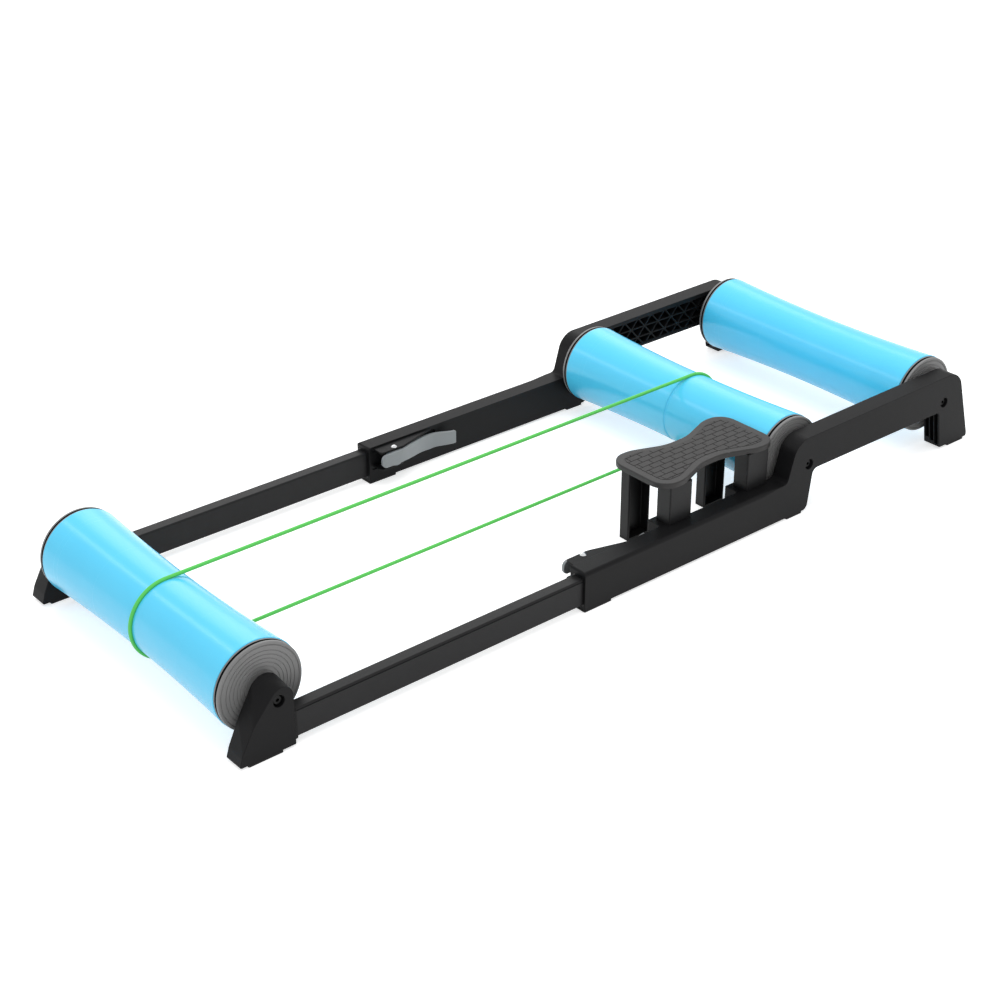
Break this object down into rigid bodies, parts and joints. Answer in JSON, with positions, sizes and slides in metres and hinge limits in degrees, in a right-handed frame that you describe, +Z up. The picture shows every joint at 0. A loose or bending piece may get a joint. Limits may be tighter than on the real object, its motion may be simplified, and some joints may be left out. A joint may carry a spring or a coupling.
{
  "type": "bike rollers",
  "caption": "Free-standing bicycle rollers: waisted blue rollers on bearings in a telescoping black frame, with cam clamps, a round drive belt and a side step.",
  "frame": {"origin": "on the floor, below the middle of the object", "axes": "+X from the front roller to the rear rollers, +Y to the rider's right, +Z up"},
  "size_m": [1.2918, 0.484, 0.1347],
  "materials": {
    "roller_blue": "gloss moulded roller sleeve, sky blue",
    "cap_grey": "satin moulded cap, mid grey",
    "frame_black": "fine-grained glass-filled plastic, black",
    "tube_black": "black-coated aluminium extrusion",
    "liner_black": "smooth moulded plastic, black",
    "lever_grey": "satin grey cast lever",
    "bright_steel": "polished plated pin",
    "plain_steel": "zinc-plated steel",
    "black_steel": "black-oxide steel bolts and washers",
    "pad_rubber": "dense black rubber",
    "foot_rubber": "black rubber",
    "step_grey": "satin moulded plastic, dark grey",
    "tread_grey": "dark grey rubber tread with a brick pattern",
    "leg_black": "satin black-coated metal",
    "belt_green": "smooth round polyurethane belt, green"
  },
  "bodies": {
    "rear_frame": {"left_side_frame": "frame_black", "right_side_frame": "frame_black", "mouth_liners": "liner_black", "cam_pins": "bright_steel", "mouth_feet": "foot_rubber", "middle_feet": "foot_rubber", "rear_feet": "foot_rubber", "step_plate": "step_grey", "step_tread": "tread_grey", "step_front_legs": "leg_black", "step_rear_legs": "leg_black", "step_sockets": "frame_black", "socket_screws": "plain_steel", "plate_screws": "plain_steel", "step_feet": "foot_rubber", "drive_belt": "belt_green", "middle_inner_rings": "plain_steel", "middle_axle": "plain_steel", "middle_spacers": "plain_steel", "middle_washers": "black_steel", "middle_bolts": "black_steel", "rear_inner_rings": "plain_steel", "rear_axle": "plain_steel", "rear_spacers": "plain_steel", "rear_washers": "black_steel", "rear_bolts": "black_steel"},
    "front_carriage": {"left_front_bracket": "frame_black", "right_front_bracket": "frame_black", "left_slide_tube": "tube_black", "right_slide_tube": "tube_black", "tube_end_plugs": "liner_black", "bracket_screws": "plain_steel", "front_feet": "foot_rubber", "front_inner_rings": "plain_steel", "front_axle": "plain_steel", "front_spacers": "plain_steel", "front_washers": "black_steel", "front_bolts": "black_steel"},
    "front_roller": {"front_sleeve": "roller_blue", "front_left_cap": "cap_grey", "front_right_cap": "cap_grey", "front_outer_rings": "plain_steel", "front_balls": "plain_steel"},
    "middle_roller": {"middle_sleeve": "roller_blue", "middle_left_cap": "cap_grey", "middle_right_cap": "cap_grey", "middle_outer_rings": "plain_steel", "middle_balls": "plain_steel"},
    "rear_roller": {"rear_sleeve": "roller_blue", "rear_left_cap": "cap_grey", "rear_right_cap": "cap_grey", "rear_outer_rings": "plain_steel", "rear_balls": "plain_steel"},
    "left_lever": {"left_cam_lever": "lever_grey"},
    "right_lever": {"right_cam_lever": "lever_grey"},
    "left_pad": {"left_clamp_pad": "pad_rubber"},
    "right_pad": {"right_clamp_pad": "pad_rubber"}
  },
  "joints": [
    {"name": "frame_slide", "type": "slide", "parent": "rear_frame", "child": "front_carriage", "axis": [1, 0, 0], "range_m": [-0.09, 0.4], "deforming": ["drive_belt"]},
    {"name": "front_roller_spin", "type": "hinge", "parent": "front_carriage", "child": "front_roller", "pos_m": [-0.58815, 0, 0.07], "axis": [0, 1, 0], "continuous": true},
    {"name": "middle_roller_spin", "type": "hinge", "parent": "rear_frame", "child": "middle_roller", "pos_m": [0.28885, 0, 0.0735], "axis": [0, 1, 0], "continuous": true},
    {"name": "rear_roller_spin", "type": "hinge", "parent": "rear_frame", "child": "rear_roller", "pos_m": [0.58185, 0, 0.077], "axis": [0, 1, 0], "continuous": true},
    {"name": "left_lever_turn", "type": "hinge", "parent": "rear_frame", "child": "left_lever", "pos_m": [-0.09315, -0.2, 0.0396], "axis": [0, 0, 1], "range_deg": [0, 35]},
    {"name": "right_lever_turn", "type": "hinge", "parent": "rear_frame", "child": "right_lever", "pos_m": [-0.09315, 0.2, 0.0396], "axis": [0, 0, -1], "range_deg": [0, 35]},
    {"name": "left_pad_slide", "type": "slide", "parent": "rear_frame", "child": "left_pad", "axis": [0, 1, 0], "range_m": [0, 0.00053]},
    {"name": "right_pad_slide", "type": "slide", "parent": "rear_frame", "child": "right_pad", "axis": [0, -1, 0], "range_m": [0, 0.00053]}
  ],
  "couplings": [
    {"joint": "front_roller_spin", "follows": "middle_roller_spin", "ratio": 1},
    {"joint": "left_pad_slide", "follows": "left_lever_turn", "m_per_rad": 0.00086},
    {"joint": "right_pad_slide", "follows": "right_lever_turn", "m_per_rad": 0.00086}
  ]
}
